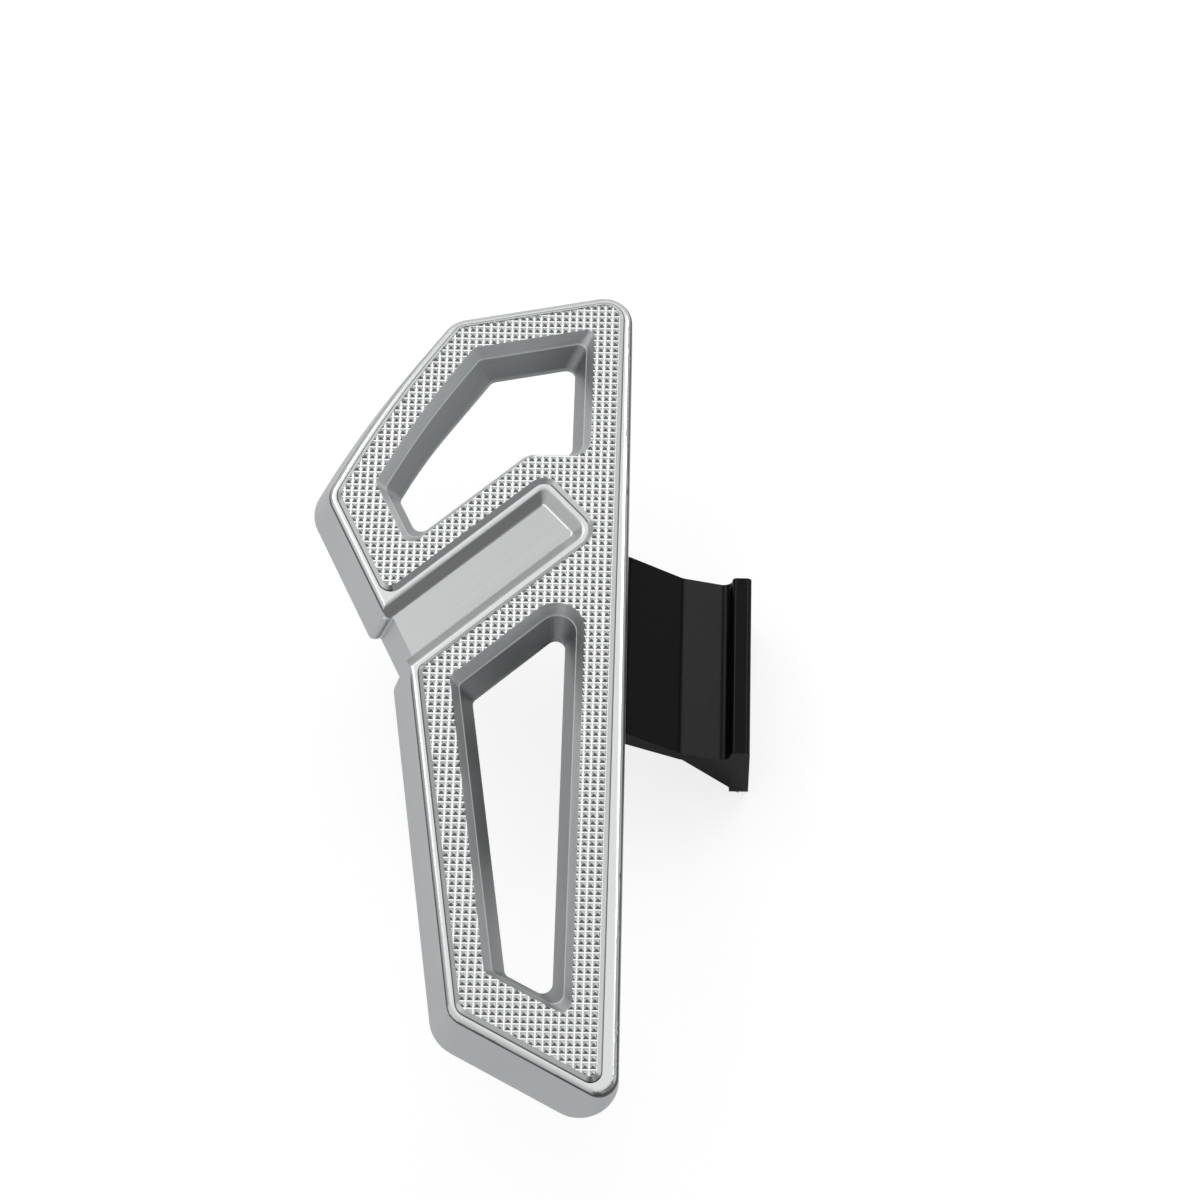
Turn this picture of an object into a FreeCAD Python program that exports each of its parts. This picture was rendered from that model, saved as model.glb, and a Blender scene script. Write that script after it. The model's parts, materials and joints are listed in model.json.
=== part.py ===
"""Folding motorcycle floorboard: a billet board hinged on a cast support bracket.

Millimetres, +X inboard, +Y forward, +Z up.  The origin is the centre of the two bolt holes
on the bracket's mounting face, and the board reaches out along -X.
"""
import FreeCAD
import Part
import math
import os
from collections import Counter

Vector = FreeCAD.Vector

# Place of the board over the mounting face
tread_inset = 58.0           # mounting face to the inner edge of the tread
tread_height = 72.0          # mount centre to the tread surface
board_thickness = 18.0       # tread surface to the flat underside

# Tread: its length and width, then its corners, outboard of the inner edge and back from its front
tread_length = 349.3
tread_width = 111.8          # at the shoulder, its widest place
tread_front = 147.6          # front end, forward of the mount
outer_front_out = 66.0
outer_front_back = 13.8
shoulder_back = 95.3
waist_out = 74.6
waist_back = 171.2
outer_rear_out = 52.0
outer_rear_rise = 28.2       # outer rear corner, forward of the inner one
bow_rise = 1.8               # bulge of the edge between outer front corner and shoulder

# Radii of the tread's corners
inner_front_r = 6.0
outer_front_r = 3.0
outer_front_spread = 24.0    # this corner's skirt is rounder towards its foot
bow_r = 450.0
shoulder_r = 5.0
channel_mouth_r = 3.0
channel_inner_r = 7.5
channel_nose_r = 11.0
waist_r = 60.0
outer_rear_r = 4.0
inner_rear_r = 2.0
notch_r = 3.0
least_r = 1.0                # smallest rounding left where an outline shrinks

# Edge of the board, from the tread outwards
flank_width = 2.6            # sloping flank round the tread
flank_depth = 2.2
rim_width = 2.4              # from the flank's foot to the top of the skirt
rim_round = 2.7              # rounding of the rim, along the channel too
skirt_flare = 8.0            # how far the skirt leans outwards
bow_flare = 6.8              # less between the outer front corner and the bow
front_flare = 5.6            # and along the front edge
inner_rim_front = 3.1        # flank's foot to the upright inner face, at the front end
inner_rim_rear = 6.1         # and at the rear end

# Slanting channel across the board
channel_angle = 42.5         # from +X
channel_width = 37.6         # tread to tread
channel_axis_y = 65.2        # where its axis would meet the tread's inner edge
channel_setback = 20.85      # from that point to the closed end, along the axis
channel_rim = 2.0            # flank's foot to the top of the channel's wall
channel_slope = 4.8          # width of the sloping wall
channel_depth = 3.2          # rim to floor
notch_depth = 4.0            # the channel's floor runs on down the skirt this deep

# Knurl: rows and columns of pyramids sunk in the tread, with their tips level with it
knurl_pitch = 3.0
knurl_depth = 0.9
knurl_margin = 0.8           # least plain tread left round the knurl
knurl_column = 4.0           # one column of pyramids, outboard of the tread's inner edge
knurl_row = 22.5             # one row of pyramids, forward of the mount

# Windows: width of the tread that is left beside them
front_rail = 9.8
side_rail = 9.5
inner_rail = 9.4
channel_rail = 9.0
shoulder_rail = 14.3
rear_rail = 16.0
window_sill = 6.7            # front window's level edge, forward of the channel's front corner
chamfer_width = 3.8          # upper facet of the window's wall
chamfer_depth = 6.0
wall_width = 4.8             # lower, steeper facet
bow_wall_width = 6.4         # the same on the front window's side along the bow
window_land = 2.5            # upright band above the underside
window_r = 3.0               # window corners at the tread
window_foot_r = 4.0          # window corners at the underside
window_elbow_r = 8.0         # front window, corner beside the channel's end
window_nose_r = 12.0         # rear window, corner beside the channel's end

# Hinge under the inner rail
axis_out = 6.0               # pivot axis, outboard of the tread's inner edge
axis_drop = 15.0             # pivot axis below the underside
pin_r = 5.0
pin_fit = 0.05               # radial running clearance
bush_wall = 1.5
bush_length = 20.0
bush_flange_r = 9.0
bush_flange = 1.5
press_fit = 0.02             # radial, bush in barrel and bumper stem in toe
barrel_r = 9.5
bracket_length = 82.0
side_play = 0.3              # lug to bush flange

# Hinge lugs and their screws
lug_width = 20.0
lug_base = 6.0
lug_ear = 12.0               # ear's length along the axis
lug_foot_margin = 3.0        # base beyond the last screw's head
lug_ear_r = 10.0
lug_corner_r = 2.0
screw_r = 3.0
screw_head_r = 5.0
screw_head = 6.0
screw_grip = 10.0            # length in the board
screw_hex = 5.0              # across flats
hex_sides = 6
screw_hex_depth = 3.0
screw_clear = 0.3            # radial, in the lug and the lock washer
thread_fit = 0.02            # radial, in the board
screw_gap = 2.5              # pin's end to the first screw's head
screw_pitch = 12.0
screws_per_lug = 2
hole_spare = 2.0             # blind hole beyond the screw's end
washer_thick = 1.6
washer_width = 2.0
washer_split = 0.8

# Pin and what holds it
pin_head_r = 7.5
pin_head = 4.0
pin_chamfer = 0.8
pin_washer_r = 9.0
pin_washer = 1.5
pin_washer_clear = 0.2
clip_thick = 1.0
clip_r = 8.0
clip_band = 1.8              # width of the clip's outer ring
clip_prong = 2.4
clip_prong_angle = 105.0     # between the middle prong and the others
clip_slot = 8.0              # open side, as wide as the pin's groove
clip_fit = 0.05
groove_depth = 0.8
pin_tail = 3.0               # pin beyond the clip

# Cast bracket
arm_shoulder_x = 51.7        # from the mounting face to where the arm leaves the barrel
arm_shoulder_drop = 29.0     # below the tread
arm_bend_x = 28.8
arm_bend_drop = 47.0
arm_end_drop = 53.5          # where the arm meets the flange
arm_root = 10.0              # upright thickness of the arm at its shoulder
arm_thick = 5.5              # and from its bend on
arm_round = 6.0
flange_thick = 8.0
flange_top = 26.0            # above the mount centre
flange_bottom = 16.0         # below it
flange_edge_r = 2.0
flange_corner_r = 8.0
bolt_spacing = 50.0
bolt_hole_r = 4.25
rib_thick = 7.0
rib_place = 37.0             # middle of each rib, either side of the mount
rib_foot = 4.0               # rib's end above the flange's lower edge
toe_reach = 30.0             # from the pivot axis
toe_width = 32.0
toe_middle = 21.5            # toe's middle, forward of the mount
toe_drop = 7.5               # toe's top below the underside
toe_thick = 8.0
toe_corner_r = 6.0

# Rubber bumpers on the toe
bumper_r = 5.0
bumper_spacing = 16.0
bumper_edge = 9.0            # from the toe's end
bumper_gap = 0.3
bumper_stem_r = 2.5
bumper_stem = 6.0
stem_spare = 1.0             # hole beyond the stem's end
bumper_chamfer = 1.2

# Places worked out from the sizes above
tread_x = -tread_inset
underside_z = tread_height - board_thickness
rim_z = tread_height - flank_depth
floor_z = rim_z - channel_depth
axis_x = tread_x - axis_out
axis_z = underside_z - axis_drop
half_bracket = bracket_length / 2
ear_start = half_bracket + bush_flange + side_play
ear_end = ear_start + lug_ear
pin_reach = max(pin_head, pin_washer + clip_thick + pin_tail)
first_screw = ear_end + pin_reach + screw_gap + screw_head_r
foot_end = first_screw + (screws_per_lug - 1) * screw_pitch + screw_head_r + lug_foot_margin
lug_low_z = underside_z - lug_base
head_z = lug_low_z - washer_thick
bush_r = pin_r + pin_fit + bush_wall
groove_r = pin_r - groove_depth
clip_start = ear_end + pin_washer
toe_top_z = underside_z - toe_drop
front = 1                    # the two ends of the hinge along Y
rear = -1
overshoot = 5.0              # cutters run past the faces they cut
edge_share = 0.95            # most of an edge that the roundings at its ends may take
edge_chamfer = 0.5           # on the screw heads
near = 0.05                  # how far from a height an edge may lie and still count as there


def turn(before, corner, after):
    """Signed turn of an outline at a corner, in radians, positive to the left."""
    a = corner - before
    b = after - corner
    return math.atan2(a.x * b.y - a.y * b.x, a.x * b.x + a.y * b.y)


def unit(vector):
    return Vector(vector).normalize()


def moved(points, distances):
    """An anticlockwise outline with each edge moved outwards by its own distance."""
    count = len(points)
    edges = []
    for i, start in enumerate(points):
        along = unit(points[(i + 1) % count] - start)
        outwards = Vector(along.y, -along.x, 0)
        edges.append((start + outwards * distances[i], along))
    corners = []
    for i, (start, along) in enumerate(edges):
        other, other_along = edges[i - 1]
        cross = other_along.x * along.y - other_along.y * along.x
        gap = start - other
        reach = (gap.x * along.y - gap.y * along.x) / cross
        corners.append(other + other_along * reach)
    return corners


def limited_runs(points, radii):
    """Length that each rounding takes of the edges beside its corner, as far as they have room."""
    count = len(points)
    runs = []
    for i, corner in enumerate(points):
        bend = abs(turn(points[i - 1], corner, points[(i + 1) % count]))
        runs.append(radii[i] * math.tan(bend / 2))
    for i in range(count):
        j = (i + 1) % count
        excess = runs[i] + runs[j] - edge_share * points[i].distanceToPoint(points[j])
        if excess > 0:
            larger = i if runs[i] > runs[j] else j
            runs[larger] -= excess
    return runs


def ring(points, radii, z):
    """A closed wire at height z through the corners, each rounded by its radius or left sharp at 0."""
    count = len(points)
    lift = Vector(0, 0, z)
    spans = []
    for i, run in enumerate(limited_runs(points, radii)):
        corner = points[i] + lift
        back = unit(points[i - 1] - points[i])
        ahead = unit(points[(i + 1) % count] - points[i])
        half = abs(turn(points[i - 1], points[i], points[(i + 1) % count])) / 2
        sink = run * math.tan(half / 2)
        spans.append((corner + back * run, corner + unit(back + ahead) * sink, corner + ahead * run))
    edges = []
    for i, (start, middle, end) in enumerate(spans):
        if radii[i] > 0:
            edges.append(Part.Arc(start, middle, end).toShape())
        edges.append(Part.LineSegment(end, spans[(i + 1) % count][0]).toShape())
    return Part.Wire(edges)


def grown(points, radii, growth):
    """Corner radii of an outline moved outwards by growth: outer ones grow, inner ones shrink."""
    count = len(points)
    result = []
    for i, corner in enumerate(points):
        convex = turn(points[i - 1], corner, points[(i + 1) % count]) > 0
        result.append(max(radii[i] + (growth if convex else -growth), least_r))
    return result


def loft(lower, upper):
    return Part.makeLoft([lower, upper], True, True)


def prism(points, radii, z_low, z_high):
    face = Part.Face(ring(points, radii, z_low))
    return face.extrude(Vector(0, 0, z_high - z_low))


def rod(radius, y_start, y_end, x=axis_x, z=axis_z):
    """A cylinder along Y."""
    return Part.makeCylinder(radius, y_end - y_start, Vector(x, y_start, z), Vector(0, 1, 0))


def upright(radius, x, y, z_low, z_high):
    return Part.makeCylinder(radius, z_high - z_low, Vector(x, y, z_low))


def end_circle(body, y):
    """The round edge of a turned body at one Y."""
    return [e for e in body.Edges if e.Closed and abs(e.CenterOfMass.y - y) < near][0]


def level_circle(body, z):
    """The round edge of an upright turned body at one height."""
    return [e for e in body.Edges if e.Closed and abs(e.CenterOfMass.z - z) < near][0]


def section(points, radii, y_start, y_end):
    """A solid of one XZ section along Y, with its corners rounded."""
    face = Part.Face(ring([Vector(x, z, 0) for x, z in points], radii, 0))
    face.rotate(Vector(0, 0, 0), Vector(1, 0, 0), 90)
    face.translate(Vector(0, y_start, 0))
    return face.extrude(Vector(0, y_end - y_start, 0))


def tread_point(out, y):
    return Vector(tread_x - out, y, 0)


def line_meet(point_a, along_a, point_b, along_b):
    cross = along_a.x * along_b.y - along_a.y * along_b.x
    gap = point_b - point_a
    return point_a + along_a * ((gap.x * along_b.y - gap.y * along_b.x) / cross)


# Corners of the tread, anticlockwise from the inner front
inner_front = tread_point(0, tread_front)
outer_front = tread_point(outer_front_out, tread_front - outer_front_back)
shoulder = tread_point(tread_width, tread_front - shoulder_back)
waist = tread_point(waist_out, tread_front - waist_back)
inner_rear = tread_point(0, tread_front - tread_length)
outer_rear = tread_point(outer_rear_out, inner_rear.y + outer_rear_rise)
chord = unit(shoulder - outer_front)
bow = (outer_front + shoulder) * 0.5 + Vector(chord.y, -chord.x, 0) * (2 * bow_rise)

# The channel's axis points inboard, and its side direction points forward
axis_along = Vector(math.cos(math.radians(channel_angle)), math.sin(math.radians(channel_angle)), 0)
axis_side = Vector(-axis_along.y, axis_along.x, 0)
channel_end = tread_point(0, channel_axis_y) - axis_along * channel_setback
channel_front_end = channel_end + axis_side * (channel_width / 2)
channel_rear_end = channel_end - axis_side * (channel_width / 2)
channel_front_mouth = line_meet(shoulder, unit(waist - shoulder), channel_front_end, axis_along)
channel_rear_mouth = line_meet(waist, unit(outer_rear - waist), channel_rear_end, axis_along)

tread = [inner_front, outer_front, bow, shoulder, channel_front_mouth, channel_front_end,
         channel_rear_end, channel_rear_mouth, outer_rear, inner_rear]
tread_r = [inner_front_r, outer_front_r, bow_r, shoulder_r, channel_mouth_r, channel_inner_r,
           channel_nose_r, channel_mouth_r, outer_rear_r, inner_rear_r]

# Notch in the skirt below the channel: its front side is square to the skirt, its rear side
# in line with the channel's floor
channel_top_shrink = flank_width + channel_rim
channel_floor_shrink = channel_top_shrink + channel_slope
floor_growth = flank_width + rim_width + skirt_flare * channel_depth / (rim_z - underside_z)
skirt_along = unit(waist - shoulder)
skirt_out = Vector(skirt_along.y, -skirt_along.x, 0)
notch_line = shoulder - skirt_out * notch_depth
floor_front = channel_front_end - axis_side * channel_floor_shrink
floor_rear = channel_rear_end + axis_side * channel_floor_shrink
floor_corner = line_meet(notch_line + skirt_out * floor_growth, skirt_along, floor_front, axis_along)
notch_front_out = line_meet(shoulder, skirt_along, floor_corner, skirt_out)
notch_front_in = notch_front_out - skirt_out * notch_depth
notch_rear_in = line_meet(notch_line, skirt_along, floor_rear, axis_along)
notch_rear_out = line_meet(waist, unit(outer_rear - waist), floor_rear, axis_along)

# Outline of the whole board, where the inner face spreads from the tread towards the rear
rear_spread = Vector(inner_rim_rear - inner_rim_front, 0, 0)
inner_rear_out = line_meet(outer_rear, unit(inner_rear - outer_rear), inner_rear + rear_spread,
                           Vector(0, 1, 0))
front_corners = [inner_front, outer_front, bow, shoulder]
front_corners_r = [inner_front_r, outer_front_r, bow_r, shoulder_r]
rear_corners = [outer_rear, inner_rear_out]
rear_corners_r = [outer_rear_r, inner_rear_r]
notch_corners = [notch_front_out, notch_front_in, notch_rear_in, notch_rear_out]


def outer_ring(middle_corners, middle_r, fixed_edges, share, z):
    """The board's outline at one height: share is how much of the skirt's flare it has there."""
    corners = front_corners + middle_corners + rear_corners
    radii = front_corners_r + [middle_r] * len(middle_corners) + rear_corners_r
    growth = flank_width + rim_width + skirt_flare * share
    distances = [growth] * len(corners)
    radii[1] += outer_front_spread * share
    distances[0] += (front_flare - skirt_flare) * share
    distances[1] += (bow_flare - skirt_flare) * share
    distances[-1] = flank_width + inner_rim_front
    for i in fixed_edges:
        distances[i] = 0
    return ring(moved(corners, distances), grown(corners, radii, growth), z)


def skirt_body(middle_corners, middle_r, fixed_edges):
    """The flared body under the tread, as high as the rim."""
    lower = outer_ring(middle_corners, middle_r, fixed_edges, 1, underside_z)
    return loft(lower, outer_ring(middle_corners, middle_r, fixed_edges, 0, rim_z))


def channel_ring(shrink, z):
    """The channel's outline, its sides moved in by shrink, run out past the skirt."""
    far = axis_along * (-2 * tread_width)
    corners = [channel_front_end, channel_front_end + far, channel_rear_end + far, channel_rear_end]
    distances = [-shrink, 0, -shrink, -shrink]
    corner_r = max(channel_inner_r - shrink, least_r)
    nose_r = max(channel_nose_r - shrink, least_r)
    return ring(moved(corners, distances), [corner_r, 0, 0, nose_r], z)


def channel_cutter():
    """The channel with its sloping walls, open upwards."""
    upper = channel_ring(channel_top_shrink, rim_z)
    lower = channel_ring(channel_floor_shrink, floor_z)
    opening = Part.Face(upper).extrude(Vector(0, 0, overshoot))
    return loft(lower, upper).fuse(opening)


def plateau():
    """The tread's raised block with its sloping flank."""
    foot = moved(tread, [flank_width] * len(tread))
    foot_ring = ring(foot, grown(tread, tread_r, flank_width), rim_z)
    return loft(foot_ring, ring(tread, tread_r, tread_height))


def rim_edges(body):
    """Upper edges of the flared body, at the rim's height."""
    return [edge for edge in body.Edges if edge.BoundBox.ZMin > rim_z - near]


def window_cutter(corners, widths, top_r, foot_r):
    """A window with a chamfer, a steeper wall as wide as widths tell, and an upright land."""
    chamfer_z = tread_height - chamfer_depth
    land_z = underside_z + window_land
    middle_r = [(a + b) / 2 for a, b in zip(top_r, foot_r)]
    top = ring(corners, top_r, tread_height)
    middle = ring(moved(corners, [-chamfer_width] * len(corners)), middle_r, chamfer_z)
    foot_points = moved(corners, [-chamfer_width - width for width in widths])
    foot = ring(foot_points, foot_r, land_z)
    land = prism(foot_points, foot_r, underside_z - overshoot, land_z)
    opening = Part.Face(top).extrude(Vector(0, 0, overshoot))
    return loft(middle, top).fuse([loft(foot, middle), land, opening])


def front_window():
    """Corners, wall widths and radii of the window between front edge, shoulder and channel."""
    level_y = channel_front_end.y + window_sill
    inner_corner = tread_point(0, level_y)
    elbow = line_meet(inner_corner, Vector(1, 0, 0), channel_front_mouth, axis_along)
    edges = [inner_front, outer_front, bow, shoulder, channel_front_mouth, elbow, inner_corner]
    rails = [front_rail, side_rail, side_rail, shoulder_rail, channel_rail, 0, inner_rail]
    widths = [wall_width, bow_wall_width] + [wall_width] * (len(edges) - 2)
    top_r = [window_r, window_r, bow_r, window_r, window_foot_r, window_elbow_r, window_elbow_r]
    foot_r = [window_foot_r, window_foot_r, bow_r, window_foot_r, window_foot_r, window_r, window_foot_r]
    return moved(edges, [-rail for rail in rails]), widths, top_r, foot_r


def rear_window():
    """The same of the window between the channel and the rear edge."""
    inner_end = line_meet(channel_rear_mouth, axis_along, inner_rear, Vector(0, 1, 0))
    edges = [inner_end, channel_rear_mouth, outer_rear, inner_rear]
    corners = moved(edges, [-channel_rail, -side_rail, -rear_rail, -inner_rail])
    top_r = [window_nose_r, window_r, window_r, window_foot_r]
    foot_r = [window_foot_r, window_r, window_r, window_foot_r]
    return corners, [wall_width] * len(corners), top_r, foot_r


windows = [front_window(), rear_window()]


def groove_crossing(i, j, z):
    """Where the knurl's grooves cross: pyramid (i, j) has those from (i, j) to (i + 1, j + 1)."""
    x = tread_x - knurl_column + (i - 0.5) * knurl_pitch
    return Vector(x, knurl_row + (j - 0.5) * knurl_pitch, z)


def pyramid_foot(i, j):
    return [(i, j), (i + 1, j), (i + 1, j + 1), (i, j + 1)]


def crossings_in(face, columns, rows):
    """The crossings that lie on a level face."""
    found = set()
    for i in columns:
        for j in rows:
            point = groove_crossing(i, j, tread_height)
            if face.BoundBox.isInside(point) and face.isInside(point, near, True):
                found.add((i, j))
    return found


def knurl_pyramids():
    """The pyramids that lie wholly on the tread and not wholly over a window."""
    columns = range(math.floor((knurl_column - tread_width) / knurl_pitch),
                    math.ceil(knurl_column / knurl_pitch) + 1)
    rows = range(math.floor((inner_rear.y - knurl_row) / knurl_pitch),
                 math.ceil((inner_front.y - knurl_row) / knurl_pitch) + 1)
    edge = moved(tread, [-knurl_margin] * len(tread))
    land = Part.Face(ring(edge, grown(tread, tread_r, -knurl_margin), tread_height))
    on_land = crossings_in(land, columns, rows)
    holes = []
    for corners, _, top_r, _ in windows:
        holes.append(crossings_in(Part.Face(ring(corners, top_r, tread_height)), columns, rows))
    pyramids = []
    for cell in on_land:
        foot = set(pyramid_foot(*cell))
        if foot <= on_land and not any(foot <= hole for hole in holes):
            pyramids.append(cell)
    return pyramids


def knurled(block):
    """A block with the knurl sunk into its level top."""
    low = tread_height - knurl_depth
    top = [face for face in block.Faces if face.BoundBox.ZMin > tread_height - near][0]
    faces = [face for face in block.Faces if not face.isSame(top)]
    sides = Counter()
    for cell in knurl_pyramids():
        foot = pyramid_foot(*cell)
        tip = groove_crossing(cell[0] + 0.5, cell[1] + 0.5, tread_height)
        for start, end in zip(foot, foot[1:] + foot[:1]):
            sides[frozenset((start, end))] += 1
            a = groove_crossing(*start, low)
            faces.append(Part.Face(Part.makePolygon([a, groove_crossing(*end, low), tip, a])))
    border = [Part.makeLine(*[groove_crossing(*end, tread_height) for end in side])
              for side, uses in sides.items() if uses == 1]
    wires = [Part.Wire(edges) for edges in Part.sortEdges(border)]
    for wire in wires:
        faces += wire.extrude(Vector(0, 0, -knurl_depth)).Faces
    faces += top.cut(Part.makeFace(wires, "Part::FaceMakerBullseye")).Faces
    skin = Part.makeCompound(faces)
    skin.sewShape()
    return Part.Solid(skin)


def screw_places(side):
    """Y of the screws of the front or rear lug."""
    return [side * (first_screw + i * screw_pitch) for i in range(screws_per_lug)]


def make_board():
    """The billet: flared body, channel, blind screw holes, raised knurled tread and two windows."""
    skirt = skirt_body([waist], waist_r, [])
    notch_sides = [len(front_corners), len(front_corners) + 2]
    notch = skirt.cut(skirt_body(notch_corners, notch_r, notch_sides))
    body = skirt.cut(channel_cutter())
    body = body.makeFillet(rim_round, rim_edges(body))
    hole_top = underside_z + screw_grip + hole_spare
    holes = [upright(screw_r + thread_fit, axis_x, y, underside_z - overshoot, hole_top)
             for y in screw_places(front) + screw_places(rear)]
    body = body.cut([notch] + holes).fuse(knurled(plateau()))
    return body.cut([window_cutter(*window) for window in windows]).removeSplitter()


def facing(shape, side):
    """The shape as made for the front, or turned end for end in Y for the rear."""
    return shape if side == front else shape.mirror(Vector(0, 0, 0), Vector(0, 1, 0))


def make_lug(side):
    """Hinge lug: a base screwed under the rail, with a round ear beside the bracket."""
    left = axis_x - lug_width / 2
    right = axis_x + lug_width / 2
    corners = [Vector(left, ear_start, 0), Vector(right, ear_start, 0),
               Vector(right, foot_end, 0), Vector(left, foot_end, 0)]
    base = prism(corners, [lug_corner_r] * len(corners), lug_low_z, underside_z)
    web_points = [(axis_x - lug_ear_r, axis_z), (axis_x + lug_ear_r, axis_z),
                  (right, lug_low_z), (left, lug_low_z)]
    web = section(web_points, [0] * len(web_points), ear_start, ear_end)
    lug = base.fuse([web, rod(lug_ear_r, ear_start, ear_end)])
    lug = lug.cut(rod(pin_r + pin_fit, ear_start - overshoot, ear_end + overshoot))
    for y in screw_places(front):
        hole = upright(screw_r + screw_clear, axis_x, y, lug_low_z - overshoot, underside_z + overshoot)
        lug = lug.cut(hole)
    return facing(lug.removeSplitter(), side)


def make_screws(side):
    """Socket screws, heads down."""
    low_z = head_z - screw_head
    hex_r = screw_hex / 2 / math.cos(math.pi / hex_sides)
    angles = [2 * math.pi * i / hex_sides for i in range(hex_sides)]
    screws = []
    for y in screw_places(side):
        shank = upright(screw_r, axis_x, y, head_z, underside_z + screw_grip)
        head = upright(screw_head_r, axis_x, y, low_z, head_z)
        head = head.makeChamfer(edge_chamfer, [level_circle(head, low_z)])
        corners = [Vector(axis_x + hex_r * math.cos(a), y + hex_r * math.sin(a), 0) for a in angles]
        socket = prism(corners, [0] * hex_sides, low_z, low_z + screw_hex_depth)
        screws.append(shank.fuse(head).cut(socket).removeSplitter())
    return Part.makeCompound(screws)


def make_lock_washers(side):
    """Split washers under the screw heads."""
    washers = []
    for y in screw_places(side):
        inner_r = screw_r + screw_clear
        washer = upright(inner_r + washer_width, axis_x, y, head_z, lug_low_z)
        washer = washer.cut(upright(inner_r, axis_x, y, head_z - overshoot, lug_low_z + overshoot))
        slot = Part.makeBox(inner_r + washer_width + overshoot, washer_split, washer_thick,
                            Vector(axis_x, y - washer_split / 2, head_z))
        washers.append(washer.cut(slot))
    return Part.makeCompound(washers)


def make_bush(side):
    """Flanged bush, pressed into the end of the barrel."""
    sleeve = rod(bush_r, half_bracket - bush_length, half_bracket)
    flange = rod(bush_flange_r, half_bracket, half_bracket + bush_flange)
    bore = rod(pin_r + pin_fit, half_bracket - bush_length - overshoot, half_bracket + overshoot)
    return facing(sleeve.fuse(flange).cut(bore).removeSplitter(), side)


def make_pin():
    """Headed pin: head at the front, groove for the clip at the rear."""
    tail_y = -clip_start - clip_thick - pin_tail
    shaft = rod(pin_r, tail_y, ear_end)
    shaft = shaft.makeChamfer(pin_chamfer, [end_circle(shaft, tail_y)])
    head = rod(pin_head_r, ear_end, ear_end + pin_head)
    head = head.makeChamfer(pin_chamfer, [end_circle(head, ear_end + pin_head)])
    groove = rod(pin_r + overshoot, -clip_start - clip_thick - clip_fit, -clip_start + clip_fit)
    groove = groove.cut(rod(groove_r, -clip_start - clip_thick - overshoot, -clip_start + overshoot))
    return shaft.fuse(head).cut(groove).removeSplitter()


def make_pin_washer():
    """Plain washer between the rear lug and the clip."""
    washer = rod(pin_washer_r, -clip_start, -ear_end)
    return washer.cut(rod(pin_r + pin_washer_clear, -clip_start - overshoot, -ear_end + overshoot))


def make_clip():
    """Open clip: a ring with three prongs that reach into the pin's groove."""
    y_start = -clip_start - clip_thick
    band = rod(clip_r, y_start, -clip_start)
    band = band.cut(rod(clip_r - clip_band, y_start - overshoot, -clip_start + overshoot))
    slot = Part.makeBox(clip_slot, clip_thick, clip_r + overshoot,
                        Vector(axis_x - clip_slot / 2, y_start, axis_z - clip_r - overshoot))
    band = band.cut(slot)
    prong = Part.makeBox(clip_prong, clip_thick, clip_r - clip_band / 2 - groove_r - clip_fit,
                         Vector(axis_x - clip_prong / 2, y_start, axis_z + groove_r + clip_fit))
    for angle in (0, clip_prong_angle, -clip_prong_angle):
        copy = prong.copy()
        copy.rotate(Vector(axis_x, 0, axis_z), Vector(0, 1, 0), angle)
        band = band.fuse(copy)
    return band.removeSplitter()


def bumper_places():
    x = axis_x - toe_reach + bumper_edge
    return [(x, toe_middle + side * bumper_spacing / 2) for side in (front, rear)]


def flange_corner(side):
    """What a rounded lower corner takes off the flange."""
    depth = flange_thick + 2 * overshoot
    middle = Vector(-flange_thick - overshoot, half_bracket - flange_corner_r,
                    flange_corner_r - flange_bottom)
    block = Part.makeBox(depth, flange_corner_r + overshoot, flange_corner_r + overshoot,
                         middle - Vector(0, 0, flange_corner_r + overshoot))
    return facing(block.cut(Part.makeCylinder(flange_corner_r, depth, middle, Vector(1, 0, 0))), side)


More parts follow.
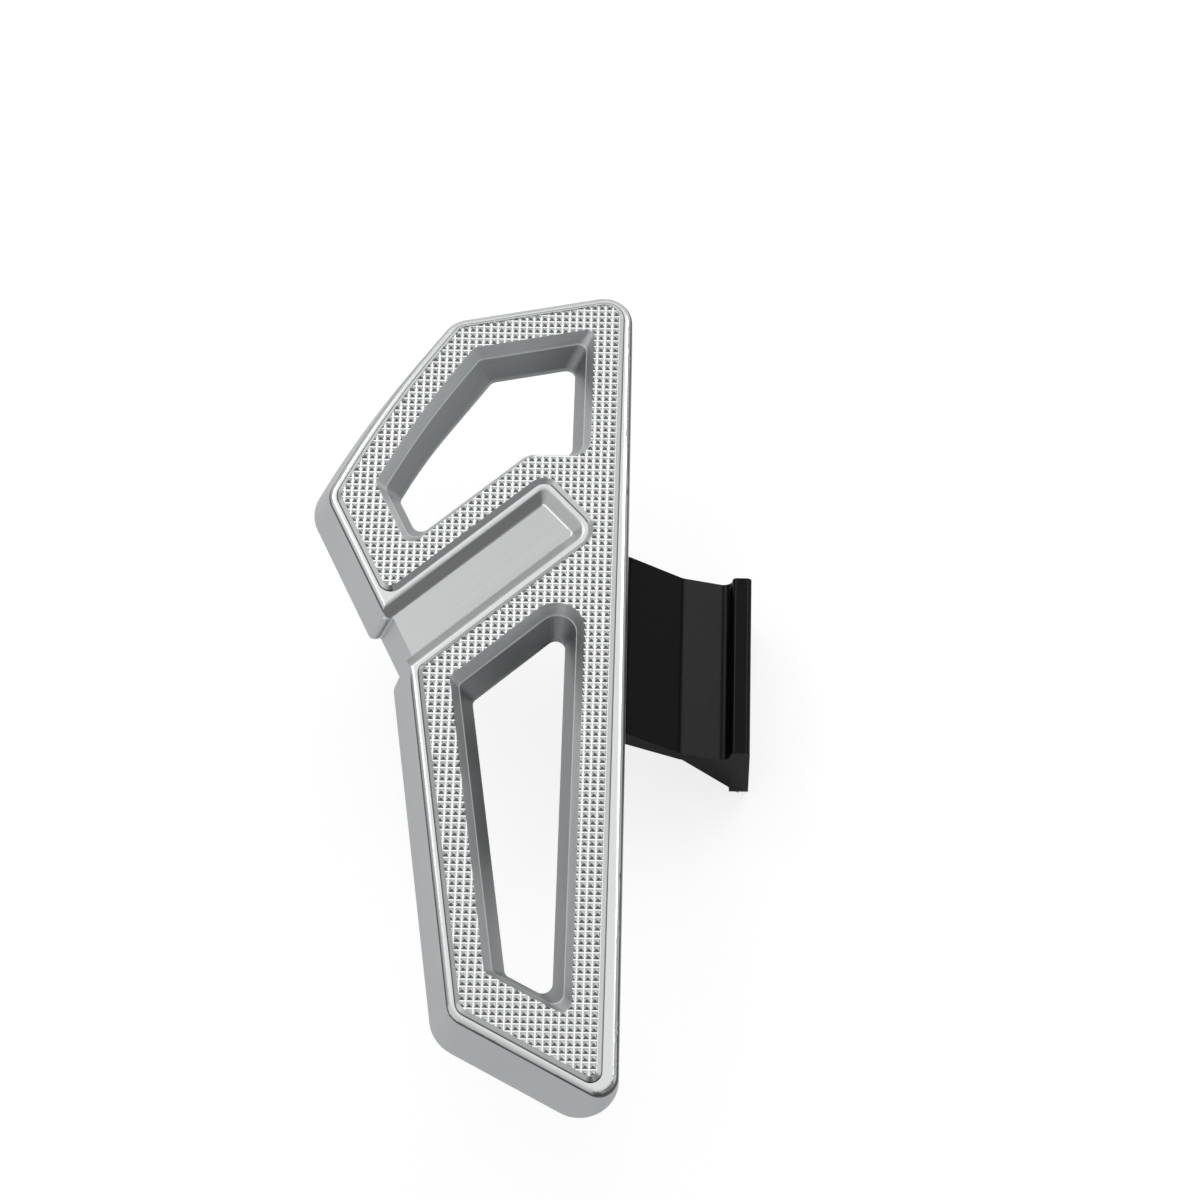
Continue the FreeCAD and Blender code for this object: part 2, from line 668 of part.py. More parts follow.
def make_bracket():
    """Cast bracket: barrel, falling arm, bolted flange with two ribs, and the toe for the bumpers."""
    shoulder_z = tread_height - arm_shoulder_drop
    bend_z = tread_height - arm_bend_drop
    end_z = tread_height - arm_end_drop
    profile = [(axis_x, axis_z - barrel_r / 2), (-arm_shoulder_x, shoulder_z - arm_root),
               (-arm_bend_x, bend_z - arm_thick), (-flange_thick, end_z - arm_thick),
               (-flange_thick, -flange_bottom), (0, -flange_bottom), (0, flange_top),
               (-flange_thick, flange_top), (-flange_thick, end_z), (-arm_bend_x, bend_z),
               (-arm_shoulder_x, shoulder_z), (axis_x, axis_z + barrel_r / 2)]
    rounds = [0, arm_round, arm_round, arm_round, 0, 0, flange_edge_r,
              flange_edge_r, arm_round, arm_round, arm_round, 0]
    body = section(profile, rounds, -half_bracket, half_bracket)
    body = body.cut(flange_corner(front)).cut(flange_corner(rear))
    body = body.fuse(rod(barrel_r, -half_bracket, half_bracket))
    rib = [(-flange_thick / 2, rib_foot - flange_bottom), (-arm_bend_x, bend_z - arm_thick),
           (-arm_bend_x, bend_z - arm_thick / 2), (-flange_thick / 2, end_z - arm_thick / 2)]
    for side in (front, rear):
        start = side * rib_place - rib_thick / 2
        body = body.fuse(section(rib, [0] * len(rib), start, start + rib_thick))
    toe_rear = toe_middle - toe_width / 2
    toe_front = toe_middle + toe_width / 2
    corners = [Vector(axis_x - toe_reach, toe_rear, 0), Vector(axis_x, toe_rear, 0),
               Vector(axis_x, toe_front, 0), Vector(axis_x - toe_reach, toe_front, 0)]
    toe = prism(corners, [toe_corner_r, 0, 0, toe_corner_r], toe_top_z - toe_thick, toe_top_z)
    body = body.fuse(toe).cut(rod(bush_r + press_fit, -bracket_length, bracket_length))
    for side in (front, rear):
        start = Vector(-flange_thick - overshoot, side * bolt_spacing / 2, 0)
        body = body.cut(Part.makeCylinder(bolt_hole_r, flange_thick + 2 * overshoot, start, Vector(1, 0, 0)))
    for x, y in bumper_places():
        socket_z = toe_top_z - bumper_stem - stem_spare
        body = body.cut(upright(bumper_stem_r + press_fit, x, y, socket_z, toe_top_z + overshoot))
    return body.removeSplitter()


def make_bumpers():
    """Rubber buffers with a stem pressed into the toe."""
    bumpers = []
    for x, y in bumper_places():
        pad_top = underside_z - bumper_gap
        pad = upright(bumper_r, x, y, toe_top_z, pad_top)
        pad = pad.makeChamfer(bumper_chamfer, [level_circle(pad, pad_top)])
        bumpers.append(pad.fuse(upright(bumper_stem_r, x, y, toe_top_z - bumper_stem, toe_top_z)))
    return Part.makeCompound(bumpers)


nodes = {
    "board": make_board(),
    "front_hinge_lug": make_lug(front),
    "rear_hinge_lug": make_lug(rear),
    "front_lug_screws": make_screws(front),
    "rear_lug_screws": make_screws(rear),
    "front_lock_washers": make_lock_washers(front),
    "rear_lock_washers": make_lock_washers(rear),
    "front_pivot_bush": make_bush(front),
    "rear_pivot_bush": make_bush(rear),
    "pivot_pin": make_pin(),
    "pin_washer": make_pin_washer(),
    "pin_clip": make_clip(),
    "support_bracket": make_bracket(),
    "stop_bumpers": make_bumpers(),
}

os.makedirs("parts", exist_ok=True)
for name, shape in nodes.items():
    shape.exportStep("parts/" + name + ".step")
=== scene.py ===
"""Looks of a folding motorcycle floorboard.

Billet finishes, knurled tread, hinge, bracket and stage.
"""
import json
import math

import bpy
from bpy.props import FloatProperty, FloatVectorProperty, PointerProperty
from mathutils import Matrix, Vector

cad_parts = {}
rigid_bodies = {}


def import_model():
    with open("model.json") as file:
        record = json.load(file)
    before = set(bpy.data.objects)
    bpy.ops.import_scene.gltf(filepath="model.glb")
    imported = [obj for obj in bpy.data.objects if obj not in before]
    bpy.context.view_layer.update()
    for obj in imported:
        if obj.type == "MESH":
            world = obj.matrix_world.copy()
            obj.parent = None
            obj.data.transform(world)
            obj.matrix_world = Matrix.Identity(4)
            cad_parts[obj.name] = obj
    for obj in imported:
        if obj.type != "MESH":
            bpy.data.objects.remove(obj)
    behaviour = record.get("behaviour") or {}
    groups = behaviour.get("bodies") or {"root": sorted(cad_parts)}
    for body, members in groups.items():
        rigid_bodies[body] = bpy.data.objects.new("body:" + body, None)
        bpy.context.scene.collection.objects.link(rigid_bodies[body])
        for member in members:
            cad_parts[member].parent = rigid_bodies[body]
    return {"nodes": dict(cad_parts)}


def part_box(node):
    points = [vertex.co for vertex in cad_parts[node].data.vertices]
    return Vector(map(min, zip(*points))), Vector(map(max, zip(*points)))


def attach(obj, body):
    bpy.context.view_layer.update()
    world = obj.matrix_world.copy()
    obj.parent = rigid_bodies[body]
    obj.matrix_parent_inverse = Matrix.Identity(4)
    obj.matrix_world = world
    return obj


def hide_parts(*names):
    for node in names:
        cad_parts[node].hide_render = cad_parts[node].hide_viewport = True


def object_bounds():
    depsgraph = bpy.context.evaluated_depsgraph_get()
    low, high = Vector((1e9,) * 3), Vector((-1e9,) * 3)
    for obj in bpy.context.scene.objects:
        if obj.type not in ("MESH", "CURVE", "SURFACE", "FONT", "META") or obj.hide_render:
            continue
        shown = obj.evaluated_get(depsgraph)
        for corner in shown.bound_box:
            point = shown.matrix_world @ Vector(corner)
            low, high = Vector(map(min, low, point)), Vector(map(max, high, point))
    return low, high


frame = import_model()
cad_box = [list(corner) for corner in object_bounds()]
board_low, board_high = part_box("board")

bl_info = {
    "name": "Motorcycle Floorboard",
    "version": (1, 0, 0),
    "blender": (4, 5, 0),
    "location": "View3D > Sidebar > Floorboard",
    "description": "Dresses a packed floorboard with its finishes, knurled tread and a studio",
    "category": "Object",
}

MM = 0.001
TINY = 0.05 * MM             # how far from a height a face may lie and still count as there
MERGE = 0.001 * MM           # points nearer than this are one point
APART = 0.2 * MM             # heights further apart than this belong to different parts of the board
LEVEL = 0.99                 # least upward part of the normal of a level face
WALL = 0.1                   # least sideways part of the normal of a wall

# Finishes of the board, in the order of its materials
BLASTED, RIM, CHANNEL, WINDOW, GROOVE, FLANK = range(6)


def linear(code):
    """A linear colour from an sRGB hex code such as #9A9C9E."""
    shades = [int(code[i:i + 2], 16) / 255 for i in (1, 3, 5)]
    return [s / 12.92 if s <= 0.04045 else ((s + 0.055) / 1.055) ** 2.4 for s in shades]


def colour_property(name, description, code):
    return FloatVectorProperty(name=name, description=description, subtype="COLOR", size=3,
                               min=0, max=1, default=linear(code))


def length_property(name, description, default):
    return FloatProperty(name=name, description=description, default=default, min=0, unit="LENGTH")


class KnurlSettings(bpy.types.PropertyGroup):
    """Sizes of the small pyramids on the tread."""
    pitch: length_property("Pitch", "From one pyramid to the next, both ways", 3.0 * MM)
    base: length_property("Base", "Width of a pyramid at the groove floor", 2.5 * MM)
    top: length_property("Top", "Width of the flat that is left on a pyramid", 0.3 * MM)
    depth: length_property("Depth", "Tread to the groove floor", 0.92 * MM)
    border: length_property("Border", "Plain border, from the flank at the groove floor's height",
                            0.55 * MM)
    window_slope: FloatProperty(name="Window slope", min=0, default=0.63,
                                description="Run over rise of the windows' upper walls")
    start: FloatVectorProperty(name="Start", description="Place of one pyramid's centre", size=2,
                               subtype="XYZ", unit="LENGTH", default=(-62.0 * MM, 22.5 * MM))


class BoardSettings(bpy.types.PropertyGroup):
    """Colours of the billet board, and the places of its channel, facets, rim and flank."""
    blasted: colour_property("Blasted", "Skirt, inner face and underside", "#C4C6C8")
    bright: colour_property("Bright", "Rim and flank", "#DADCDC")
    channel: colour_property("Channel", "Channel floor and walls", "#BFC1C0")
    window: colour_property("Window", "Window walls", "#C9CCCD")
    knurl: colour_property("Knurl", "Pyramids", "#E2E4E4")
    # The groove colour is whiter than cut metal, as a painted highlight
    groove: colour_property("Groove", "Floors of the knurl's grooves", "#FAFAFA")
    channel_angle: FloatProperty(name="Channel angle", description="Channel's axis from +X",
                                 subtype="ANGLE", default=math.radians(42.5))
    channel_end: FloatVectorProperty(name="Channel end", size=2, subtype="XYZ", unit="LENGTH",
                                     description="Closed end of the channel's axis",
                                     default=(-73.37 * MM, 51.11 * MM))
    channel_half: length_property("Channel half", "Axis to the top of the channel's wall",
                                  15.0 * MM)
    channel_floor: length_property("Channel floor", "Height of the channel's floor", 66.6 * MM)
    channel_line: length_property("Channel line", "Width of the rounding round the channel's floor",
                                  0.35 * MM)
    facet_meet: length_property("Facet meet", "Height where a window's two facets meet", 66.0 * MM)
    # The light line where the facets meet is a painted highlight
    facet_line: length_property("Facet line", "Height of the light line where they meet", 0.72 * MM)
    rim_foot: length_property("Rim foot", "Height above which the rim's rounding lies", 66.85 * MM)
    # Between rim tilt and rim bright, the rim goes from a painted dark line of shade to its plain
    # colour
    rim_tilt: FloatProperty(name="Rim tilt", min=0, max=1, default=0.58,
                            description="Upward part of the normal where the rim begins")
    rim_bright: FloatProperty(name="Rim bright", min=0, max=1, default=0.8,
                              description="Upward part of the normal where it is bright")
    flank_foot: length_property("Flank foot", "Height above which the rim turns into the flank",
                                69.8 * MM)
    # The dark line at the flank's foot is painted shade in the crease
    crease: length_property("Crease", "Rise over which the dark line at a foot fades", 0.6 * MM)


class HingeSettings(bpy.types.PropertyGroup):
    """Colours of the hinge, the bracket and the bumpers."""
    lug: colour_property("Lug", "Hinge lugs", "#B9BBBC")
    steel: colour_property("Steel", "Pin, washers and clip", "#B4B5B3")
    screw: colour_property("Screw", "Socket screws", "#2A2B2D")
    bronze: colour_property("Bronze", "Pivot bushes", "#B98A4B")
    paint: colour_property("Paint", "Support bracket", "#070708")
    rubber: colour_property("Rubber", "Stop bumpers", "#1B1B1C")


class StageSettings(bpy.types.PropertyGroup):
    """Camera, lamps, floor and surroundings."""
    camera_place: FloatVectorProperty(name="Camera", description="Place of the camera", size=3,
                                      subtype="TRANSLATION", unit="LENGTH",
                                      default=(-24.99 * MM, -721.44 * MM, 1399.20 * MM))
    camera_turn: FloatVectorProperty(name="Camera turn", size=3, subtype="EULER",
                                     description="Rotation of the camera",
                                     default=[math.radians(a) for a in (28.6894, 0.7146, 1.6158)])
    focal: FloatProperty(name="Focal length", description="Lens of the camera in millimetres",
                         subtype="DISTANCE_CAMERA", default=112.308)
    floor: colour_property("Floor", "Pale floor", "#FAFAFA")
    sky: FloatProperty(name="Sky", description="Strength of the surroundings", default=0.8, min=0)
    floor_width: length_property("Floor width", "Side of the floor", 14.0)
    floor_glow: FloatProperty(name="Floor glow", description="Share of plain white in the floor",
                              default=0.7, min=0, max=1)
    floor_light: FloatProperty(name="Floor light", description="Brightness of that white",
                               default=1.15, min=0)


def deselect_all():
    if bpy.context.object and bpy.context.object.mode != "OBJECT":
        bpy.ops.object.mode_set(mode="OBJECT")
    bpy.ops.object.select_all(action="DESELECT")


def make_active(piece):
    deselect_all()
    piece.select_set(True)
    bpy.context.view_layer.objects.active = piece


def node_copy(node, name):
    """A copy of a CAD node with its triangles joined, sharp where its surfaces meet at an angle."""
    piece = bpy.data.objects.new(name, frame["nodes"][node].data.copy())
    bpy.context.scene.collection.objects.link(piece)
    make_active(piece)
    bpy.ops.object.mode_set(mode="EDIT")
    bpy.ops.mesh.select_all(action="SELECT")
    bpy.ops.mesh.remove_doubles(threshold=MERGE, use_sharp_edge_from_normals=True)
    bpy.ops.object.mode_set(mode="OBJECT")
    return piece


def plane_off(piece, height):
    """Cuts a piece off level at a height and closes it there."""
    make_active(piece)
    bpy.ops.object.mode_set(mode="EDIT")
    bpy.ops.mesh.select_all(action="SELECT")
    bpy.ops.mesh.bisect(plane_co=(0, 0, height), plane_no=(0, 0, 1), clear_outer=True,
                        threshold=MERGE)
    bpy.ops.mesh.fill()
    bpy.ops.object.mode_set(mode="OBJECT")


def field_slab(knurl):
    """The space over the groove floors, inside the tread's plain border."""
    floor_z = board_high.z - knurl.depth
    slab = node_copy("board", "field_slab")
    bpy.ops.object.mode_set(mode="EDIT")
    bpy.ops.mesh.select_mode(type="VERT")
    bpy.ops.mesh.select_all(action="SELECT")
    bpy.ops.mesh.bisect(plane_co=(0, 0, floor_z), plane_no=(0, 0, 1), clear_inner=True,
                        clear_outer=True, threshold=MERGE)
    # Of the outline and the windows' outlines, the outermost stays
    bpy.ops.mesh.select_all(action="DESELECT")
    bpy.ops.object.mode_set(mode="OBJECT")
    min(slab.data.vertices, key=lambda vertex: vertex.co.x).select = True
    bpy.ops.object.mode_set(mode="EDIT")
    bpy.ops.mesh.select_linked()
    bpy.ops.mesh.select_all(action="INVERT")
    bpy.ops.mesh.delete(type="VERT")
    bpy.ops.mesh.select_all(action="SELECT")
    bpy.ops.mesh.edge_face_add()
    bpy.ops.mesh.select_mode(type="FACE")
    bpy.ops.mesh.inset(thickness=knurl.border)
    bpy.ops.mesh.select_all(action="INVERT")
    bpy.ops.mesh.delete(type="FACE")
    bpy.ops.mesh.select_all(action="SELECT")
    bpy.ops.mesh.extrude_region_move(TRANSFORM_OT_translate={"value": (0, 0, 2 * knurl.depth)})
    bpy.ops.mesh.select_all(action="SELECT")
    bpy.ops.mesh.normals_make_consistent(inside=False)
    bpy.ops.object.mode_set(mode="OBJECT")
    return slab


def delete_faces(piece, unwanted):
    """Deletes the faces that the test picks out."""
    make_active(piece)
    bpy.ops.object.mode_set(mode="EDIT")
    bpy.ops.mesh.select_mode(type="FACE")
    bpy.ops.mesh.select_all(action="DESELECT")
    bpy.ops.object.mode_set(mode="OBJECT")
    for face in piece.data.polygons:
        face.select = unwanted(face)
    bpy.ops.object.mode_set(mode="EDIT")
    bpy.ops.mesh.delete(type="FACE")
    bpy.ops.object.mode_set(mode="OBJECT")


def apply_modifier(piece, kind, **settings):
    """Adds a modifier with its settings and applies it."""
    make_active(piece)
    modifier = piece.modifiers.new(kind.title(), kind)
    for key, value in settings.items():
        setattr(modifier, key, value)
    bpy.ops.object.modifier_apply(modifier=modifier.name)


def add_node(tree, kind, values=None, links=None, **settings):
    """Adds a shader node with its settings, socket values and incoming links."""
    node = tree.nodes.new(kind)
    for key, value in settings.items():
        setattr(node, key, value)
    for socket, value in (values or {}).items():
        node.inputs[socket].default_value = value
    for socket, source in (links or {}).items():
        tree.links.new(source, node.inputs[socket])
    return node


def new_material(name, colour, metallic, roughness):
    """A material with its shader's plain values; returns it, its tree and the shader."""
    material = bpy.data.materials.new(name)
    material.use_nodes = True
    tree = material.node_tree
    shader = tree.nodes["Principled BSDF"]
    shader.inputs["Base Color"].default_value = (*colour, 1)
    shader.inputs["Metallic"].default_value = metallic
    shader.inputs["Roughness"].default_value = roughness
    return material, tree, shader


def shaded(colour, share):
    """The colour times a share, opaque."""
    return (*[c * share for c in colour], 1)


def dress(piece, *materials):
    """Gives a piece these materials and no others."""
    piece.data.materials.clear()
    for material in materials:
        piece.data.materials.append(material)


def noise(tree, vector, size, detail):
    """Noise from 0 to 1, with spots about as wide as size."""
    node = add_node(tree, "ShaderNodeTexNoise", {"Scale": 1 / size, "Detail": detail},
                    {"Vector": vector})
    return node.outputs["Fac"]


def tint_by(tree, shader, source, colour, low, high):
    """Takes the colour from its low to its high share as a source goes from 0 to 1."""
    tint = add_node(tree, "ShaderNodeValToRGB", links={"Fac": source})
    tint.color_ramp.elements[0].color = shaded(colour, low)
    tint.color_ramp.elements[1].color = shaded(colour, high)
    tree.links.new(tint.outputs["Color"], shader.inputs["Base Color"])
    return tint.color_ramp


def roughen_by(tree, shader, source, low, high):
    """Takes the roughness from low to high as a source goes from 0 to 1."""
    rough = add_node(tree, "ShaderNodeMapRange", {"To Min": low, "To Max": high}, {"Value": source})
    tree.links.new(rough.outputs["Result"], shader.inputs["Roughness"])


def bump_by(tree, shader, source, strength, height):
    """Raises the surface by up to height as a source goes from 0 to 1."""
    bump = add_node(tree, "ShaderNodeBump", {"Strength": strength, "Distance": height},
                    {"Height": source})
    tree.links.new(bump.outputs["Normal"], shader.inputs["Normal"])


def banded(tree, source, below, line, above):
    """Three plain colours: below, in and above the middle fifth of a source from 0 to 1."""
    bands = add_node(tree, "ShaderNodeValToRGB", links={"Fac": source})
    bands.color_ramp.interpolation = "CONSTANT"
    bands.color_ramp.elements[0].color = below
    bands.color_ramp.elements[1].position = 0.4
    bands.color_ramp.elements[1].color = line
    bands.color_ramp.elements.new(0.6).color = above
    return bands.outputs["Color"]


def blasted_aluminium(colour):
    """Bead-blasted, clear-anodised billet: even mid grey, matt, with a very fine grain."""
    material, tree, shader = new_material("blasted_anodised_aluminium", colour, 1, 0.42)
    place = add_node(tree, "ShaderNodeTexCoord").outputs["Object"]
    # Slow clouds over the length of a hand
    tint_by(tree, shader, noise(tree, place, 60 * MM, 2), colour, 0.94, 1.06)
    # Blast grain is about 0.2 mm; drawn at 0.8 mm so that it shows
    bump_by(tree, shader, noise(tree, place, 0.8 * MM, 3), 0.04, 0.05 * MM)
    return material


def edged_metal(name, colour, along, start, end):
    """Diamond-turned edge: nearly a mirror, with a painted dark line of shade along its start.

    With along "Object", start and end are heights.
    With "Normal", they are upward parts of the normal.
    """
    material, tree, shader = new_material(name, colour, 1, 0.2)
    place = add_node(tree, "ShaderNodeTexCoord").outputs
    parts = add_node(tree, "ShaderNodeSeparateXYZ", links={"Vector": place[along]})
    above = add_node(tree, "ShaderNodeMapRange", {"From Min": start, "From Max": end},
                     {"Value": parts.outputs["Z"]})
    # Painted shade: dark for a third of the way, then clearing
    painted_shade_ramp = tint_by(tree, shader, above.outputs["Result"], colour, 0.15, 1)
    painted_shade_ramp.elements[0].position = 0.3
    # Chatter along the edge, a few millimetres long
    roughen_by(tree, shader, noise(tree, place["Object"], 5 * MM, 2), 0.17, 0.24)
    return material


def channel_aluminium(colour, angle):
    """Face-milled channel: light satin grey with faint feed lines along it."""
    material, tree, shader = new_material("face_milled_aluminium", colour, 1, 0.32)
    place = add_node(tree, "ShaderNodeTexCoord").outputs["Object"]
    turned = add_node(tree, "ShaderNodeMapping", {"Rotation": (0, 0, angle), "Scale": (50, 1, 1)},
                      {"Vector": place}, vector_type="TEXTURE")
    # Feed lines 0.5 mm apart, drawn at 1.2 mm so that they show
    lines = noise(tree, turned.outputs["Vector"], 1.2 * MM, 2)
    tint_by(tree, shader, lines, colour, 0.93, 1.05)
    roughen_by(tree, shader, lines, 0.28, 0.36)
    return material


def window_aluminium(colour, meet, line):
    """Side-milled walls: satin grey, the lower facet in painted shade, a painted highlight line at
    the meet.
    """
    material, tree, shader = new_material("side_milled_aluminium", colour, 1, 0.4)
    place = add_node(tree, "ShaderNodeTexCoord").outputs["Object"]
    height = add_node(tree, "ShaderNodeSeparateXYZ", links={"Vector": place})
    reach = 2.5 * line           # of which the line is the middle fifth
    near = add_node(tree, "ShaderNodeMapRange", {"From Min": meet - reach, "From Max": meet + reach},
                    {"Value": height.outputs["Z"]})
    # Painted shade on the lower facet, and a painted highlight in the line where the facets meet
    facets = banded(tree, near.outputs["Result"], shaded(colour, 0.65), shaded(colour, 1.2),
                    shaded(colour, 1))
    # The painted highlight line is also made less metallic, so that it scatters light and is light
    # from all sides
    white = (1, 1, 1)
    metal = banded(tree, near.outputs["Result"], shaded(white, 1), shaded(white, 0.2),
                   shaded(white, 1))
    tree.links.new(metal, shader.inputs["Metallic"])
    # Cutter marks half a millimetre apart, one under the other
    stretched = add_node(tree, "ShaderNodeMapping", {"Scale": (0.02, 0.02, 1)}, {"Vector": place})
    marks = noise(tree, stretched.outputs["Vector"], 0.5 * MM, 1)
    share = add_node(tree, "ShaderNodeMapRange", {"To Min": 0.9, "To Max": 1.1}, {"Value": marks})
    tint = add_node(tree, "ShaderNodeVectorMath", links={0: facets, 1: share.outputs["Result"]},
                    operation="MULTIPLY")
    tree.links.new(tint.outputs["Vector"], shader.inputs["Base Color"])
    return material


def groove_aluminium(colour):
    """Freshly cut groove floors, made whiter still as a painted highlight of the light the grooves
    catch: the brightest, whitest part of the tread.
    """
    material, tree, shader = new_material("groove_cut_aluminium", colour, 1, 0.3)
    place = add_node(tree, "ShaderNodeTexCoord").outputs["Object"]
    roughen_by(tree, shader, noise(tree, place, 0.6 * MM, 1), 0.26, 0.36)
    return material


def knurl_aluminium(colour):
    """Milled pyramids: crisp facets, bright or dark with their slope, no two quite alike."""
    material, tree, shader = new_material("knurl_milled_aluminium", colour, 1, 0.2)
    place = add_node(tree, "ShaderNodeTexCoord").outputs["Object"]
    # One tone for about each pyramid
    tint_by(tree, shader, noise(tree, place, 3 * MM, 1), colour, 0.85, 1.1)
    return material


def machined_metal(name, colour, roughness, mark):
    """Plain machined metal: satin, with soft tool marks about as wide as mark."""
    material, tree, shader = new_material(name, colour, 1, roughness)
    place = add_node(tree, "ShaderNodeTexCoord").outputs["Object"]
    marks = noise(tree, place, mark, 3)
    tint_by(tree, shader, marks, colour, 0.85, 1.1)
    roughen_by(tree, shader, marks, roughness * 0.8, roughness * 1.3)
    return material


def bracket_paint(colour):
    """Gloss black powder coat on a casting: deep black, with a slow orange peel."""
    material, tree, shader = new_material("gloss_powder_coat", colour, 0, 0.22)
    place = add_node(tree, "ShaderNodeTexCoord").outputs["Object"]
    # Orange peel about 3 mm across
    peel = noise(tree, place, 3 * MM, 2)
    bump_by(tree, shader, peel, 0.08, 0.1 * MM)
    roughen_by(tree, shader, peel, 0.18, 0.28)
    shader.inputs["Specular IOR Level"].default_value = 0.12
    return material


def bumper_rubber(colour):
    """Moulded rubber: matt near-black with a dusty bloom."""
    material, tree, shader = new_material("moulded_rubber", colour, 0, 0.75)
    place = add_node(tree, "ShaderNodeTexCoord").outputs["Object"]
    tint_by(tree, shader, noise(tree, place, 2 * MM, 4), colour, 0.8, 1.6)
    return material


class FLOORBOARD_OT_board(bpy.types.Operator):
    """Dresses the billet board: blasted skirt, bright rim, milled channel and windows"""
    bl_idname = "floorboard.board"
    bl_label = "Dress Board"

    def execute(self, context):
        settings = context.scene.floorboard_board
        board = node_copy("board", "milled_board")
        self.round_channel_floor(board, settings)
        slab = field_slab(context.scene.floorboard_knurl)
        apply_modifier(board, "BOOLEAN", operation="DIFFERENCE", solver="MANIFOLD", object=slab)
        bpy.data.objects.remove(slab)
        apply_modifier(board, "WEIGHTED_NORMAL", keep_sharp=True, weight=100)
        # The rim and flank finishes carry painted dark lines of shade along their starts
        dress(board, blasted_aluminium(settings.blasted),
              edged_metal("bright_cut_rim", settings.bright, "Normal", settings.rim_tilt,
                          settings.rim_bright),
              channel_aluminium(settings.channel, settings.channel_angle),
              window_aluminium(settings.window, settings.facet_meet, settings.facet_line),
              groove_aluminium(settings.groove),
              edged_metal("bright_cut_flank", settings.bright, "Object", settings.flank_foot,
                          settings.flank_foot + settings.crease))
        zones = [self.zone(board, face, settings) for face in board.data.polygons]
        board.data.polygons.foreach_set("material_index", zones)
        board.data.update()
        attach(board, "footboard")
        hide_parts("board")
        return {"FINISHED"}

    def round_channel_floor(self, board, settings):
        """Rounds the inside edges along the channel's floor, so that they catch the light."""
        make_active(board)
        bpy.ops.object.mode_set(mode="EDIT")
        bpy.ops.mesh.select_mode(type="EDGE")
        bpy.ops.mesh.select_all(action="DESELECT")
        bpy.ops.object.mode_set(mode="OBJECT")
        mesh = board.data
        floor_z = settings.channel_floor
        on_floor = [abs(vertex.co.z - floor_z) < TINY for vertex in mesh.vertices]
        walls = {key for face in mesh.polygons for key in face.edge_keys
                 if LEVEL > face.normal.z > settings.rim_tilt and face.center.z > floor_z + TINY}
        for edge in mesh.edges:
            edge.select = all(on_floor[i] for i in edge.vertices) and edge.key in walls
        bpy.ops.object.mode_set(mode="EDIT")
        bpy.ops.mesh.bevel(offset=settings.channel_line, segments=2)
        bpy.ops.object.mode_set(mode="OBJECT")

    def zone(self, board, face, settings):
        """The finish of a face: one of BLASTED, RIM, CHANNEL, WINDOW, GROOVE and FLANK."""
        height = face.center.z
        if face.normal.z < -LEVEL:
            return BLASTED
        if face.normal.z > LEVEL and height > settings.flank_foot + APART:
            return GROOVE
        away = face.center.xy - Vector(settings.channel_end)
        angle = settings.channel_angle
        along = away.x * math.cos(angle) + away.y * math.sin(angle)
        across = away.y * math.cos(angle) - away.x * math.sin(angle)
        in_channel = along < settings.channel_half and abs(across) < settings.channel_half
        if in_channel and settings.channel_floor - APART < height < settings.flank_foot - APART:
            low = height < settings.channel_floor + settings.channel_line / 2
            # The rounding along the floor takes the grooves' whiter colour, partly a painted
            # highlight
            return GROOVE if low and face.normal.z < LEVEL else CHANNEL
        level = Vector((face.normal.x, face.normal.y, 0))
        if level.length > WALL:
            level.normalize()
            # Only a window's wall faces another wall of the board
            if board.ray_cast(face.center + level * TINY, level)[0]:
                return WINDOW
        if height > settings.flank_foot + TINY:
            return FLANK
        lowest = min(board.data.vertices[i].co.z for i in face.vertices)
        return RIM if lowest > settings.rim_foot else BLASTED


